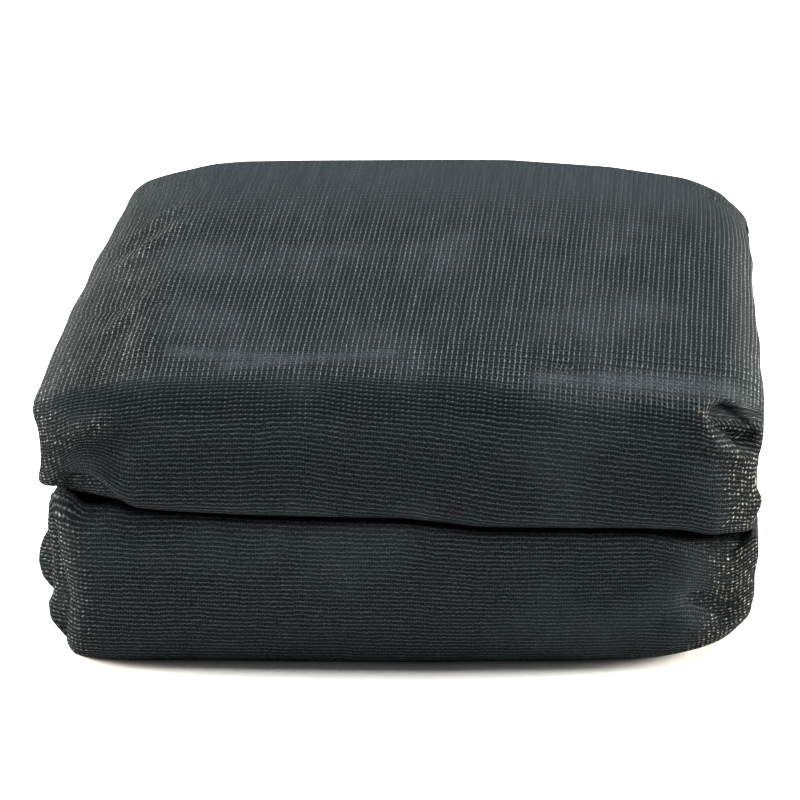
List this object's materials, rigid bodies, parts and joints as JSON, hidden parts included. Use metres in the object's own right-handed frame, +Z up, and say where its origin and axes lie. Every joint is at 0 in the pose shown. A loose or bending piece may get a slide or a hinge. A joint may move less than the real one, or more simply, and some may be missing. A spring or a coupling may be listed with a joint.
{
  "type": "folded safety net",
  "caption": "Knitted mesh safety net, folded back and forth into a flat-based storage block of two rounded pads.",
  "frame": {"origin": "middle of the bounding box at the flat underside", "axes": "+X along the block's width, with the rounded front folds facing -Y; +Y to the outer back fold; +Z up"},
  "size_m": [0.429, 0.433, 0.178],
  "materials": {
    "net": "matt knitted plastic yarn with a slight sheen"
  },
  "bodies": {
    "root": {"folded_net": "net"}
  },
  "joints": []
}
